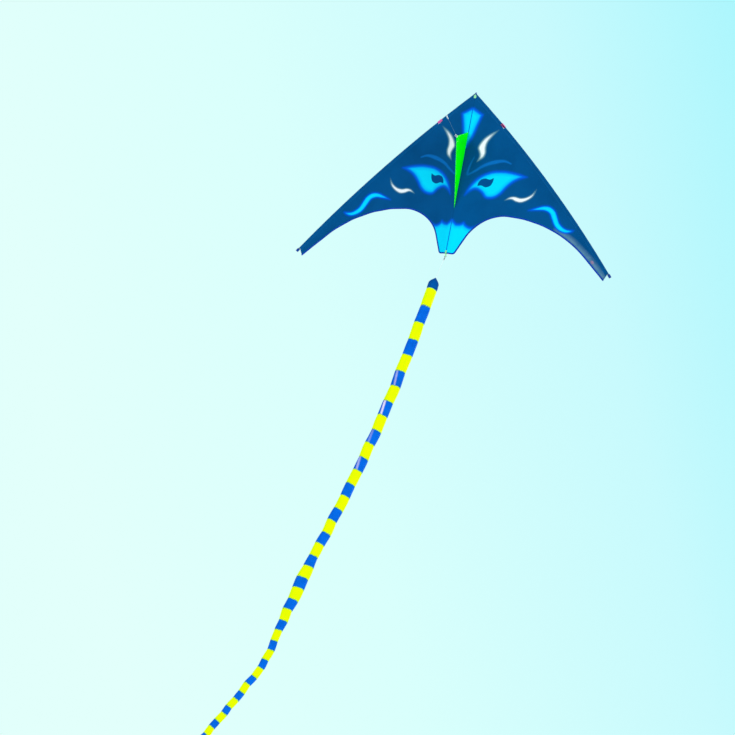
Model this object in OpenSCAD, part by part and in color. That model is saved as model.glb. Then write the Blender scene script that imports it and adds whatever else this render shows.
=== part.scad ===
// Delta kite on its flying leader, with a banded tube tail. Millimetres, +Z up.
// The origin is the centre of the tow eyelet. +X is the kite's right hand, seen from its face.
// Modules drawn inside flown() use the kite's own axes: X to the right, Y back from the face,
// Z along the spine, with the nose at the origin.

/* [Frame] */
// Distance between the two wing-tip spar ends
span = 1600; // [1300:10:2000]
// How far the wing tips lie below the nose, along the spine
tip_drop = 816; // [700:4:1000]
// Length of the sail along the spine
spine_len = 795; // [680:5:960]
// How far each leading edge bows out at its middle
edge_bow = 27; // [10:1:50]
// Angle that each wing is set back from flat
dihedral = 6.4; // [2:0.2:10]
// Lean of the spine from upright in flight, nose forward
pitch = 27.5; // [15:0.5:40]
// Radius of the leading-edge spars and the spreader
spar_r = 2.5; // [2:0.1:3.5]
// Radius of the spine rod
spine_r = 2.5; // [2:0.1:3.5]

/* [Sail] */
// Thickness of the sail cloth as a solid
cloth_t = 0.6; // [0.4:0.1:1]
// Wall of the cloth sleeves round the rods
sleeve_wall = 0.8; // [0.5:0.1:1.2]
// Distance from the spine to the fold line of each wing
fold_x = 7; // [6:0.5:10]
// Depth of the trailing-edge arches below the nose
arch_z = 584; // [500:4:640]
// Distance of each arch's top from the spine
arch_u = 262; // [220:2:320]
// Radius of each arch on its spine side
arch_r = 200; // [150:5:210]
// Straight run of the trailing edge at each wing tip
tip_run = 148; // [80:2:200]
// Width of each blunt wing tip
tip_w = 38; // [28:1:60]
// Length of bare spar past the sail at each wing tip
tip_bare = 18; // [12:1:40]
// Wall of the soft caps on the wing-tip ends of the spars
tip_cap_wall = 4; // [1:0.2:5]
// Half width of the sail's square end under the spine
end_half = 39; // [25:1:60]
// Width of the binding along the trailing edge
bind_w = 7; // [4:0.5:12]
// Thickness of the binding
bind_t = 1.4; // [1:0.1:2]
// Length of the pocket sewn over each wing tip
pocket_len = 64; // [40:2:100]

/* [Spreader] */
// Depth of the spreader below the nose
spreader_z = 146; // [120:2:200]
// Distance from the spars back to the spreader's axis
rod_back = 9; // [8.8:0.2:12]
// Distance from the left spar in to the spreader's pivot
pivot_in = 15; // [14:0.5:18]
// Radius of the pivot pin
pin_r = 1.5; // [1:0.1:1.8]
// Wall of the soft fittings round the rods
fitting_wall = 3; // [1.8:0.1:3.5]
// Length of the fittings along the spars
fitting_len = 24; // [14:1:28]
// Length of each socket on the spreader
socket_len = 24; // [16:1:36]
// Gap round the spar in the open clip
clip_gap = 0.3; // [0.3:0.05:0.6]
// Side gap in the pivot
pivot_gap = 0.3; // [0.3:0.05:0.5]

/* [Keel] */
// Depth of the keel's top below the nose
keel_top = 195; // [150:5:240]
// Depth of the keel's foot below the nose
keel_foot = 571; // [450:5:640]
// Distance of the tow eyelet in front of the sail
tow_out = 128; // [90:2:170]
// Depth of the tow eyelet below the nose
tow_z = 260; // [235:2:300]
// Gap between the keel cloth and the sail
keel_gap = 1.5; // [1.5:0.1:3]
// Radius of the hole through the tow eyelet
eyelet_r = 2.4; // [2:0.1:3]
// Distance from the eyelet's centre to the keel's corner
corner_out = 6; // [6:0.2:7]

/* [Leader] */
// Length of the leader line from its ring to its swivel
leader_len = 136; // [80:2:200]
// Diameter of the leader line
leader_d = 1.6; // [1:0.1:3]
// Angle of the leader below level
leader_drop = 11; // [0:1:40]
// Radius of the tow ring to the middle of its wire
ring_big = 6.8; // [6.8:0.1:9]
// Radius of the hole in the swivel's free eye
free_eye_r = 2.2; // [1.6:0.1:2.4]
// Thickness of the swivel's free eye
free_eye_t = 2.4; // [1.8:0.1:3]

/* [Tail] */
// Length of the line between the tail's swivel and its head
tail_line_len = 118; // [60:2:200]
// Diameter of the tail line
tail_line_d = 1.2; // [0.8:0.1:2]
// Diameter of the tail at its head
tail_d = 50; // [30:1:80]
// Diameter of the tail at its end
tail_end_d = 33; // [20:1:60]
// Height of the point of the tail's head
head_point = 34; // [20:1:60]
// Height of the straight part of the tail's head
head_straight = 42; // [20:1:60]
// Length of the first band
band_first = 107; // [60:1:140]
// Length of each band as a share of the one above it
band_ratio = 0.976; // [0.97:0.001:1]
// Number of bands
band_count = 42; // [10:2:44]
// Wall of the tail cloth as a solid
tail_wall = 0.8; // [0.5:0.1:1.2]
// Gap between two bands
band_gap = 1.4; // [1.4:0.1:2.4]
// Largest sideways bow of the tail's upper part
tail_bow = 32; // [0:1:60]
// Length of that bow
bow_len = 1780; // [1000:20:2400]
// Sideways throw of the tail's end, the other way
tail_hook = 135; // [0:5:250]
// Length of the part that is thrown
hook_len = 760; // [400:20:1200]
// Direction in which the tail bows, turned from +X
bow_turn = 30; // [0:1:90]

/* [Hidden] */
$fn = 32;
arc_fn = 720;
fit_gap = 0.05;
skin_gap = 0.1;
// Overrun of a cut past the face it leaves through
over = 1;
// Room round a rod in its sleeve
sleeve_gap = 0.3;
sleeve_in = spar_r + sleeve_gap;
sleeve_out = sleeve_in + sleeve_wall;
spine_sleeve_in = spine_r + sleeve_gap;
spine_sleeve_out = spine_sleeve_in + sleeve_wall;
spine_y = cloth_t + skin_gap + spine_sleeve_out;
mid_y = cloth_t / 2;

// Each leading edge is one circular arc in the plane of its wing, from the nose to the spar's end.
// In that plane u runs out from the spine and z along it.
tip_u = fold_x + (span / 2 - fold_x) / cos(dihedral);
chord = norm([tip_u, tip_drop]);
edge_r = (chord * chord / 4 + edge_bow * edge_bow) / (2 * edge_bow);
edge_c = [tip_u / 2, -tip_drop / 2] - [tip_drop, tip_u] / chord * (edge_r - edge_bow);
spar_path = edge_r - sleeve_out;
cloth_edge = spar_path - sleeve_out - skin_gap;
nose_a = atan2(-edge_c[1], -edge_c[0]);
tip_a = atan2(-tip_drop - edge_c[1], tip_u - edge_c[0]);
function along(a, length) = a - length / edge_r * 180 / PI;
function edge_pt(r, a) = edge_c + r * [cos(a), sin(a)];

// The spreader's place on the spars
clip_a = asin((-spreader_z - edge_c[1]) / spar_path);
clip_uz = edge_pt(spar_path, clip_a);
clip_x = fold_x + (clip_uz[0] - fold_x) * cos(dihedral) - mid_y * sin(dihedral);
clip_y = (clip_uz[0] - fold_x) * sin(dihedral) + mid_y * cos(dihedral);
rod_y = clip_y + rod_back;
pivot_x = clip_x - pivot_in;
fitting_r = spar_r + fitting_wall;
// Opening in the sail and sleeve at each fitting: half its length along the edge, and its depth
notch_half = fitting_len / 2 + 2;
notch_in = fitting_r + clip_gap + 1.5;
notch_a = notch_half / edge_r * 180 / PI;
// The open clip leaves its spar a little outwards, so its mouth is turned by this much
clip_turn = 9;

// Trailing edge: a straight run from the wing tip, a large arc to the top of the arch, a small arc
// down the spine side, and a straight run to the corner of the square end.
sail_end_a = along(tip_a, -tip_bare);
tip_in = edge_pt(cloth_edge, sail_end_a);
// Each blunt tip is cut at this angle to the leading edge's radius
tip_slant = 24;
tip_dir = [cos(sail_end_a + tip_slant), sin(sail_end_a + tip_slant)];
tip_out = tip_in - tip_dir * tip_w;
run_du = tip_out[0] - arch_u;
run_dz = -arch_z - tip_out[1];
big_r = (run_du * run_du + run_dz * run_dz - tip_run * tip_run) / (2 * run_dz);
big_c = [arch_u, -arch_z - big_r];
big_a = atan2(tip_out[1] - big_c[1], run_du) + atan2(tip_run, big_r);
small_c = [arch_u, -arch_z - arch_r];
corner_v = [end_half, -spine_len] - small_c;
small_a = atan2(corner_v[1], corner_v[0]) + (corner_v[1] < 0 ? 360 : 0)
    - acos(arch_r / norm(corner_v));
arch_steps = 20;
// Each wing's cloth stops this far outside its fold line, and the centre strip as far inside
fold_gap = 0.2;
cut_u = fold_x + fold_gap;
function tip_pt(d) = tip_out + tip_dir * d / (tip_dir * [cos(big_a), sin(big_a)]);
function corner_pt(d) = [
    small_c[0] + (arch_r + d - (d - spine_len - small_c[1]) * sin(small_a)) / cos(small_a),
    d - spine_len
];
function arc_pts(c, r, a, b) = [
    for (i = [0 : arch_steps]) c + r * [cos(a + (b - a) * i / arch_steps), sin(a + (b - a) * i / arch_steps)]
];
// The trailing edge moved in by d, from the wing tip to the fold line
function trail_pts(d) = concat(
    [tip_pt(d)],
    arc_pts(big_c, big_r + d, big_a, 90),
    arc_pts(small_c, arch_r + d, 90, small_a),
    [corner_pt(d), [cut_u, d - spine_len]]
);
function backwards(v) = [for (i = [len(v) - 1 : -1 : 0]) v[i]];
top_cut_a = asin((cut_u - edge_c[0]) / cloth_edge);
edge_steps = 24;
function edge_pts(r) = [
    for (i = [0 : edge_steps]) edge_pt(r, 90 - top_cut_a + (sail_end_a - 90 + top_cut_a) * i / edge_steps)
];

// Keel
tow_y = -tow_out;
keel_t = cloth_t;
corner_lift = 1.5;
patch_t = 0.4;
patch_r = 26;
eyelet_wall = 0.5;
eyelet_rim = 2;
eyelet_rim_t = 0.5;
ring_wire = 0.9;

// Leader: local axes with X along the line, out from the eyelet
ring_far = 2 * ring_big;
knot_r = 2.2;
knot_len = 6;
knot_back = 2.4;
leader_start = ring_far + 1;
leader_end = leader_start + leader_len;
swivel_eye_big = 3.2;
swivel_wire = 0.8;
barrel_r = 3;
barrel_len = 10;
barrel_wall = 0.9;
stem_r = 0.9;
stem_gap = 0.08;
stem_head_r = 1.6;
stem_head_t = 1.4;
stem_head_gap = 0.2;
eye_neck = 1.2;
eye_rim = 2;
barrel_start = leader_end + 2 * swivel_eye_big + eye_neck;

// Tail: the tongue of the spine's bottom cap carries a ring, then a swivel, the line and the tail
cap_wall = sleeve_gap + sleeve_wall;
cap_len = 22;
nose_cap_len = 18;
nose_cap_top = 2.2;
cap_floor = 2.5;
nose_past = 3;
lip_w = 8;
lip_t = 1.3;
lip_len = 18;
lip_gap = 1;
tongue_t = 3;
tongue_r = 4;
tongue_hole = 1.7;
tongue_drop = 6.5;
tongue_z = -(spine_len + cap_floor + tongue_drop);
hang_ring = 4.6;
hang_wire = 0.7;
link_gap = 0.15;
tail_eye_big = 2.6;
tail_eye_wire = 0.6;
tail_barrel_r = 2.2;
tail_barrel_len = 8;
tail_barrel_wall = 0.8;
tail_stem_r = 0.7;
tail_head_r = 1.2;
tail_head_t = 1.2;
tail_knot_r = 1.6;
tail_knot_len = 4;
line_tail_in = 1.8;
hang_y = (spine_y + tow_out) * cos(pitch) - (tongue_z + tow_z) * sin(pitch);
hang_z = (spine_y + tow_out) * sin(pitch) + (tongue_z + tow_z) * cos(pitch);
sway_z = hang_z - hang_ring;
eye_top_z = sway_z - hang_ring + hang_wire + tail_eye_wire + link_gap;
eye_mid_z = eye_top_z - tail_eye_big;
tail_barrel_z = eye_mid_z - tail_eye_big - eye_neck;
low_eye_z = tail_barrel_z - tail_barrel_len - eye_neck - tail_eye_big;
line_top_z = low_eye_z - tail_eye_big;
head_z = line_top_z - tail_line_len;
head_len = head_point + head_straight;
// Distance of band i's start below the head's point
function band_at(i) = head_len + band_gap
    + (band_ratio == 1 ? band_first * i : band_first * (1 - pow(band_ratio, i)) / (1 - band_ratio));
function band_len(i) = band_first * pow(band_ratio, i);
tail_len = band_at(band_count);
// The tail bows one way along its upper part and is thrown the other way at its end
function lean(s) = tail_bow * sin(180 * min(s, bow_len) / bow_len)
    - tail_hook * pow(max(0, s - tail_len + hook_len) / hook_len, 1.5);
function slope(s) = (lean(s + 1) - lean(s - 1)) / 2;
function tail_r(s) = (tail_d + (tail_end_d - tail_d) * s / tail_len) / 2;

navy = "#07508c";
royal = "#1450c8";
leaf = "#18e81c";
pale_green = "#a8e0a0";
pink = "#e0408c";
fibre = "#30343a";
off_white = "#f0f2f2";
steel = "#505860";
sun = "#f2f000";
band_blue = "#1468d8";
head_blue = "#0a3c82";

// Places a thing drawn in the kite's own axes into the flown frame
module flown() {
    rotate([pitch, 0, 0]) translate([0, tow_out, tow_z]) children();
}

// Places a thing drawn in the plane of the right wing, with that wing set back
module right_wing() {
    flown() translate([fold_x, 0, 0]) rotate([0, 0, dihedral]) translate([-fold_x, 0, 0]) children();
}

module left_wing() {
    flown() mirror([1, 0, 0])
        translate([fold_x, 0, 0]) rotate([0, 0, dihedral]) translate([-fold_x, 0, 0]) children();
}

// A flat sheet from an outline, from y0 back to y0 + t
module sheet(y0, t) {
    translate([0, y0 + t, 0]) rotate([90, 0, 0]) linear_extrude(t) children();
}

// A profile swept along the leading edge between two angles
module edge_sweep(a, b) {
    translate([edge_c[0], mid_y, edge_c[1]]) rotate([90, 0, 0]) rotate([0, 0, b])
        rotate_extrude(angle = a - b, $fn = arc_fn) translate([spar_path, 0]) children();
}

// Local axes on a spar: Z along it to the wing tip, X in from the edge, Y back
module on_spar(a) {
    p = edge_pt(spar_path, a);
    translate([p[0], mid_y, p[1]]) rotate([0, 180 - a, 0]) children();
}

module ring(big, wire) {
    rotate_extrude() translate([big, 0]) circle(r = wire, $fn = 16);
}

// A round line through a list of points, as one closed skin of 8 sides.
// The two side directions hold for a line that stays near one plane.
function ring_at(p, side, lift, r) = [
    for (k = [0 : 7]) p + r * (cos(45 * k) * side + sin(45 * k) * lift)
];
module line_tube(pts, side, lift, d) {
    n = len(pts);
    skin = [for (p = pts) each ring_at(p, side, lift, d / 2)];
    walls = [
        for (i = [0 : n - 2]) for (k = [0 : 7])
            [8 * i + k, 8 * i + (k + 1) % 8, 8 * i + 8 + (k + 1) % 8, 8 * i + 8 + k]
    ];
    first = [for (k = [7 : -1 : 0]) k];
    last = [for (k = [0 : 7]) 8 * (n - 1) + k];
    polyhedron(points = skin, faces = concat(walls, [first, last]));
}

// ---- Centre ----

module spine_rod() {
    color(fibre) flown() translate([0, spine_y, -spine_len])
        cylinder(r = spine_r, h = spine_len + nose_past - nose_cap_top);
}

module spine_sleeve() {
    end_gap = 1;
    low = cap_len - cap_floor - spine_len + end_gap;
    color(navy) flown() translate([0, spine_y, low]) difference() {
        cylinder(r = spine_sleeve_out, h = nose_past - low - nose_cap_len - end_gap);
        translate([0, 0, -over]) cylinder(r = spine_sleeve_in, h = spine_len);
    }
}

module centre_strip() {
    half = fold_x - fold_gap;
    top = edge_pt(edge_r, 90 - top_cut_a)[1] - 1;
    color(navy) flown() sheet(0, cloth_t)
        polygon([[-half, top], [0, -1], [half, top], [half, -spine_len], [-half, -spine_len]]);
}

module nose_patch() {
    half = fold_x - 0.8;
    top = -10;
    peak = -5;
    side_foot = -21;
    foot = -27;
    color(pale_green) flown() sheet(-cloth_t - skin_gap, cloth_t)
        polygon([[-half, top], [0, peak], [half, top], [half, side_foot], [0, foot], [-half, side_foot]]);
}

module nose_cap() {
    color(royal) flown() translate([0, spine_y, nose_past - nose_cap_len]) difference() {
        cylinder(r = spine_r + cap_wall, h = nose_cap_len);
        translate([0, 0, -over]) cylinder(r = spine_r + fit_gap, h = nose_cap_len + over - nose_cap_top + fit_gap);
    }
}

module tail_cap() {
    low = -spine_len - cap_floor;
    color(pale_green) flown() translate([0, spine_y, 0]) difference() {
        union() {
            translate([0, 0, low]) cylinder(r = spine_r + cap_wall, h = cap_len);
            translate([-tongue_t / 2, -tongue_r, tongue_z])
                cube([tongue_t, 2 * tongue_r, low - tongue_z + cap_floor / 2]);
            translate([-tongue_t / 2, 0, tongue_z]) rotate([0, 90, 0]) cylinder(r = tongue_r, h = tongue_t);
            // A lip round the sail's lower edge, up its front
            translate([-lip_w / 2, -spine_y - lip_gap - lip_t, low]) {
                cube([lip_w, lip_t, lip_len]);
                cube([lip_w, spine_y + lip_gap + lip_t, cap_floor - lip_t / 4]);
            }
        }
        translate([0, 0, -spine_len - fit_gap]) cylinder(r = spine_r + fit_gap, h = cap_len);
        translate([-tongue_t, 0, tongue_z]) rotate([0, 90, 0]) cylinder(r = tongue_hole, h = 2 * tongue_t);
    }
}

// ---- Wings ----

module sail_outline() {
    polygon(concat(edge_pts(cloth_edge), trail_pts(bind_w + skin_gap)));
}

module sail() {
    color(navy) sheet(0, cloth_t) difference() {
        sail_outline();
        translate(clip_uz) rotate(clip_a) square([2 * notch_in, 2 * notch_half], center = true);
    }
}

module sleeve(a, b) {
    color(navy) edge_sweep(a, b) difference() {
        circle(r = sleeve_out);
        circle(r = sleeve_in);
    }
}

rod_top = 18;
rod_low = 2;
sleeve_top_a = along(nose_a, rod_top);
module sleeve_upper() {
    sleeve(sleeve_top_a, clip_a + notch_a);
}

module sleeve_lower() {
    sleeve(clip_a - notch_a, sail_end_a);
}

module spar() {
    color(fibre) edge_sweep(along(nose_a, rod_top), along(tip_a, -rod_low)) circle(r = spar_r);
}

module spar_cap() {
    cap = tip_bare - rod_low;
    color(royal) on_spar(tip_a) translate([0, 0, rod_low - cap]) difference() {
        cylinder(r = spar_r + tip_cap_wall, h = cap);
        translate([0, 0, -over]) cylinder(r = spar_r + fit_gap + skin_gap, h = cap - over);
    }
}

module tip_pocket() {
    a = along(tip_a, -tip_bare - pocket_len);
    inner = edge_pt(cloth_edge, a);
    hem = bind_w + 1;
    inset = 2;
    foot = tip_pt(hem) + tip_run / 3 * [-sin(big_a), cos(big_a)];
    color(navy) sheet(cloth_t + skin_gap, cloth_t)
        polygon([tip_in + [-inset, inset], inner - [inset, inset], foot, tip_pt(hem)]);
}

module binding() {
    color(royal) sheet(mid_y - bind_t / 2, bind_t)
        polygon(concat(trail_pts(0), backwards(trail_pts(bind_w))));
}

module left_sail() { left_wing() sail(); }
module left_sleeve_upper() { left_wing() sleeve_upper(); }
module left_sleeve_lower() { left_wing() sleeve_lower(); }
module left_spar() { left_wing() spar(); }
module left_spar_cap() { left_wing() spar_cap(); }
module left_tip_pocket() { left_wing() tip_pocket(); }
module left_binding() { left_wing() binding(); }
module right_sail() { right_wing() sail(); }
module right_sleeve_upper() { right_wing() sleeve_upper(); }
module right_sleeve_lower() { right_wing() sleeve_lower(); }
module right_spar() { right_wing() spar(); }
module right_spar_cap() { right_wing() spar_cap(); }
module right_tip_pocket() { right_wing() tip_pocket(); }
module right_binding() { right_wing() binding(); }

// ---- Spreader and its fittings ----

eye_t = 4;
ear_t = 2.6;
ear_r = 4;
eye_r = ear_r - 0.2;
bar_w = 7;
bar_turn = atan2(-rod_back, -pivot_in);

module pivot_place() {
    flown() translate([-pivot_x, rod_y, -spreader_z]) children();
}

// Soft tee on the left spar: a tube round the spar and two ears that hold the pivot pin
module left_tee() {
    color(pink) difference() {
        union() {
            left_wing() on_spar(clip_a) translate([0, 0, -fitting_len / 2])
                cylinder(r = fitting_r, h = fitting_len);
            for (side = [-1, 1]) pivot_place()
                translate([0, 0, side * (eye_t / 2 + pivot_gap + ear_t / 2) - ear_t / 2]) {
                    cylinder(r = ear_r, h = ear_t);
                    rotate([0, 0, bar_turn]) translate([0, -bar_w / 2, 0])
                        cube([norm([pivot_in, rod_back]), bar_w, ear_t]);
                }
        }
        left_wing() on_spar(clip_a) translate([0, 0, -fitting_len])
            cylinder(r = spar_r + fit_gap, h = 2 * fitting_len);
        pivot_place() cylinder(r = pin_r, h = fitting_len, center = true);
    }
}

module left_tee_pin() {
    half = eye_t / 2 + pivot_gap + ear_t;
    color(off_white) pivot_place() translate([0, 0, -half]) cylinder(r = pin_r, h = 2 * half);
}

socket_r = spar_r + fitting_wall;
socket_x = 12;
neck_w = 6;
rod_start = socket_x + 3;
rod_end = pivot_x + clip_x + 2;
clip_back = rod_end + 1.5;
yoke = [7, 8];

// Arm on the spreader's left end: an eye on the pivot pin, a neck and a socket for the rod
module spreader_arm() {
    color(pink) pivot_place() difference() {
        union() {
            translate([0, 0, -eye_t / 2]) cylinder(r = eye_r, h = eye_t);
            translate([0, -neck_w / 2, -eye_t / 2]) cube([socket_x + 1, neck_w, eye_t]);
            translate([socket_x, 0, 0]) rotate([0, 90, 0]) cylinder(r = socket_r, h = socket_len);
        }
        cylinder(r = pin_r + fit_gap, h = 2 * eye_t, center = true);
        translate([rod_start, 0, 0]) rotate([0, 90, 0]) cylinder(r = spar_r + fit_gap, h = 2 * socket_len);
    }
}

module spreader_rod() {
    color(fibre) pivot_place() translate([rod_start, 0, 0]) rotate([0, 90, 0])
        cylinder(r = spar_r, h = rod_end - rod_start);
}

// Open clip on the spreader's right end, behind the right spar, with its mouth to the front
module spreader_clip() {
    gap_r = spar_r + clip_gap;
    color(pink) difference() {
        union() {
            right_wing() on_spar(clip_a) translate([0, 0, -fitting_len / 2])
                cylinder(r = gap_r + fitting_wall, h = fitting_len);
            pivot_place() translate([clip_back - socket_len, 0, 0]) rotate([0, 90, 0])
                cylinder(r = socket_r, h = socket_len);
            pivot_place() translate([clip_back - yoke[0] - 0.5, gap_r - rod_back, -yoke[1] / 2])
                cube([yoke[0], rod_back - gap_r, yoke[1]]);
        }
        right_wing() on_spar(clip_a) rotate([0, 0, clip_turn]) {
            translate([0, 0, -fitting_len]) cylinder(r = gap_r, h = 2 * fitting_len);
            translate([-gap_r, -fitting_len, -fitting_len]) cube([2 * gap_r, fitting_len, 2 * fitting_len]);
        }
        pivot_place() translate([rod_end - 2 * socket_len, 0, 0]) rotate([0, 90, 0])
            cylinder(r = spar_r + fit_gap, h = 2 * socket_len);
    }
}

// ---- Keel ----

// Outlines of the keel are drawn in its own plane, with x forward from the sail and y along the spine
keel_corner = [tow_out + corner_out * cos(leader_drop), corner_lift - tow_z];

module keel_sheet(x0, t) {
    translate([x0, 0, 0]) rotate([90, 0, -90]) translate([0, 0, -t]) linear_extrude(t) children();
}

module keel_outline() {
    polygon([[keel_gap, -keel_top], keel_corner, [keel_gap, -keel_foot]]);
}

module keel_hole() {
    translate([0, tow_y, -tow_z]) rotate([0, 90, 0])
        cylinder(r = eyelet_r + eyelet_wall + skin_gap, h = 10 * keel_t, center = true);
}

module keel_panel() {
    color(leaf) flown() difference() {
        keel_sheet(-keel_t / 2, keel_t) keel_outline();
        keel_hole();
    }
}

// Two patches that back the cloth at the tow corner
module keel_patch() {
    color(leaf) flown() difference() {
        for (x0 = [-keel_t / 2 - skin_gap - patch_t, keel_t / 2 + skin_gap])
            keel_sheet(x0, patch_t) intersection() {
                keel_outline();
                translate([tow_out, -tow_z]) circle(r = patch_r);
            }
        keel_hole();
    }
}

module tow_eyelet() {
    inner = keel_t / 2 + 2 * skin_gap + patch_t;
    color(off_white) flown() translate([0, tow_y, -tow_z]) rotate([0, 90, 0]) difference() {
        union() {
            cylinder(r = eyelet_r + eyelet_wall, h = 2 * inner, center = true);
            for (side = [0, 1]) mirror([0, 0, side]) translate([0, 0, inner])
                cylinder(r = eyelet_r + eyelet_rim, h = eyelet_rim_t);
        }
        cylinder(r = eyelet_r, h = 4 * inner, center = true);
    }
}

// ---- Leader ----

// Local axes on the leader: X along it, away from the kite, and Y across it to the left
module leader_place() {
    rotate([leader_drop, 0, 0]) rotate([0, 0, -90]) children();
}

// The ring lies across the keel, through the eyelet and round the keel's corner
module tow_ring() {
    color(off_white) leader_place() translate([ring_big, 0, 0]) ring(ring_big, ring_wire);
}

module ring_knot() {
    color(off_white) leader_place() difference() {
        translate([leader_start - knot_back, 0, 0]) rotate([0, 90, 0]) cylinder(r = knot_r, h = knot_len);
        translate([ring_big, 0, 0]) ring(ring_big, ring_wire + fit_gap);
        translate([leader_start, 0, 0]) rotate([0, 90, 0]) cylinder(r = leader_d / 2 + fit_gap, h = knot_len);
    }
}

module leader_line() {
    steps = 24;
    first = leader_start + 0.2;
    last = leader_end - swivel_wire - 0.4;
    pts = [for (i = [0 : steps]) [first + (last - first) * i / steps, 0, 0]];
    color(off_white) leader_place() line_tube(pts, [0, 1, 0], [0, 0, 1], leader_d);
}

module leader_knot() {
    length = 4;
    color(off_white) leader_place() translate([leader_end - length, 0, 0]) rotate([0, 90, 0]) difference() {
        cylinder(r = knot_r - 0.2, h = length - swivel_wire - fit_gap);
        cylinder(r = leader_d / 2 + fit_gap, h = 2 * length, center = true);
    }
}

// A swivel's barrel, closed at both ends, along +X from the origin
module barrel(r, length, wall, hole) {
    rotate([0, 90, 0]) difference() {
        cylinder(r = r, h = length);
        translate([0, 0, wall]) cylinder(r = r - wall, h = length - 2 * wall);
        translate([0, 0, length / 2]) cylinder(r = hole, h = length);
    }
}

module line_swivel_barrel() {
    color(off_white) leader_place() {
        translate([leader_end + swivel_eye_big, 0, 0]) ring(swivel_eye_big, swivel_wire);
        translate([barrel_start - eye_neck - swivel_wire / 4, 0, 0]) rotate([0, 90, 0])
            cylinder(r = stem_r, h = eye_neck + swivel_wire / 2);
        translate([barrel_start, 0, 0]) barrel(barrel_r, barrel_len, barrel_wall, stem_r + stem_gap);
    }
}

// The free eye turns in the barrel, and takes the flying line
free_eye_x = barrel_start + barrel_len + eye_neck + free_eye_r + eye_rim;
module line_swivel_eye() {
    head_x = barrel_start + barrel_len - barrel_wall - stem_head_gap - stem_head_t;
    color(off_white) leader_place() difference() {
        union() {
            translate([head_x, 0, 0]) rotate([0, 90, 0]) cylinder(r = stem_head_r, h = stem_head_t);
            translate([head_x, 0, 0]) rotate([0, 90, 0])
                cylinder(r = stem_r, h = free_eye_x - free_eye_r - eye_rim / 2 - head_x);
            translate([free_eye_x, 0, 0]) cylinder(r = free_eye_r + eye_rim, h = free_eye_t, center = true);
        }
        translate([free_eye_x, 0, 0]) cylinder(r = free_eye_r, h = 2 * free_eye_t, center = true);
    }
}

// ---- Tail ----

module tail_ring() {
    color(steel) translate([0, hang_y, sway_z]) rotate([90, 0, 0]) ring(hang_ring, hang_wire);
}

module tail_swivel_barrel() {
    color(steel) translate([0, hang_y, 0]) {
        translate([0, 0, eye_mid_z]) rotate([0, 90, 0]) ring(tail_eye_big, tail_eye_wire);
        translate([0, 0, tail_barrel_z - tail_eye_wire / 3])
            cylinder(r = tail_stem_r, h = eye_neck + tail_eye_wire * 2 / 3);
        translate([0, 0, tail_barrel_z]) rotate([0, 90, 0])
            barrel(tail_barrel_r, tail_barrel_len, tail_barrel_wall, tail_stem_r + stem_gap);
    }
}

module tail_swivel_eye() {
    head_low = tail_barrel_z - tail_barrel_len + tail_barrel_wall + stem_head_gap;
    stem_low = low_eye_z + tail_eye_big - tail_eye_wire / 3;
    color(steel) translate([0, hang_y, 0]) {
        translate([0, 0, head_low]) cylinder(r = tail_head_r, h = tail_head_t);
        translate([0, 0, stem_low]) cylinder(r = tail_stem_r, h = head_low + tail_head_t / 2 - stem_low);
        translate([0, 0, low_eye_z]) rotate([90, 0, 0]) ring(tail_eye_big, tail_eye_wire);
    }
}

module tail_line_knot() {
    top = line_top_z - tail_eye_wire - fit_gap;
    color(off_white) translate([0, hang_y, top - tail_knot_len / 2]) difference() {
        cylinder(r = tail_knot_r, h = tail_knot_len, center = true);
        cylinder(r = tail_line_d / 2 + fit_gap, h = 2 * tail_knot_len, center = true);
    }
}

module tail_line() {
    steps = 24;
    top = line_top_z - tail_eye_wire - 0.2;
    low = head_z - line_tail_in;
    pts = [for (i = [0 : steps]) [0, hang_y, low + (top - low) * i / steps]];
    color(off_white) line_tube(pts, [1, 0, 0], [0, 1, 0], tail_line_d);
}

// A round thing on the tail's centre line, s below the head's point, with its axis along the tail
module on_tail(s) {
    translate([0, hang_y, head_z]) rotate([0, 0, bow_turn]) translate([lean(s), 0, -s])
        rotate([0, -atan(slope(s)), 0]) children();
}

// A slightly tapered tube from the height 0 down to -h
module band(r_top, r_low, h) {
    rotate_extrude() polygon([
        [r_top - tail_wall, 0], [r_top, 0], [r_low, -h], [r_low - tail_wall, -h]
    ]);
}

// Pointed head: a closed cone over a short straight tube, with a hole for the line at its point
module tail_head() {
    r = tail_d / 2;
    tip_r = 2;
    tip_wall = 1.5;
    line_r = tail_line_d / 2 + fit_gap;
    color(head_blue) translate([0, hang_y, head_z]) rotate_extrude() polygon([
        [line_r, 0], [tip_r, 0], [r, -head_point], [r, -head_len],
        [r - tail_wall, -head_len], [r - tail_wall, -head_point - 0.6], [tip_r - 0.4, -tip_wall],
        [line_r, -tip_wall]
    ]);
}

module bands(first) {
    for (i = [first : 2 : band_count - 1]) {
        s = band_at(i);
        h = band_len(i) - band_gap;
        on_tail(s + h / 2) translate([0, 0, h / 2]) band(tail_r(s), tail_r(s + h), h);
    }
}

module tail_yellow_bands() { color(sun) bands(0); }
module tail_blue_bands() { color(band_blue) bands(1); }

module tail_end_hem() {
    r = tail_r(tail_len) + 0.3;
    hem = 8;
    color(head_blue) on_tail(tail_len) band(r, r, hem);
}

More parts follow.
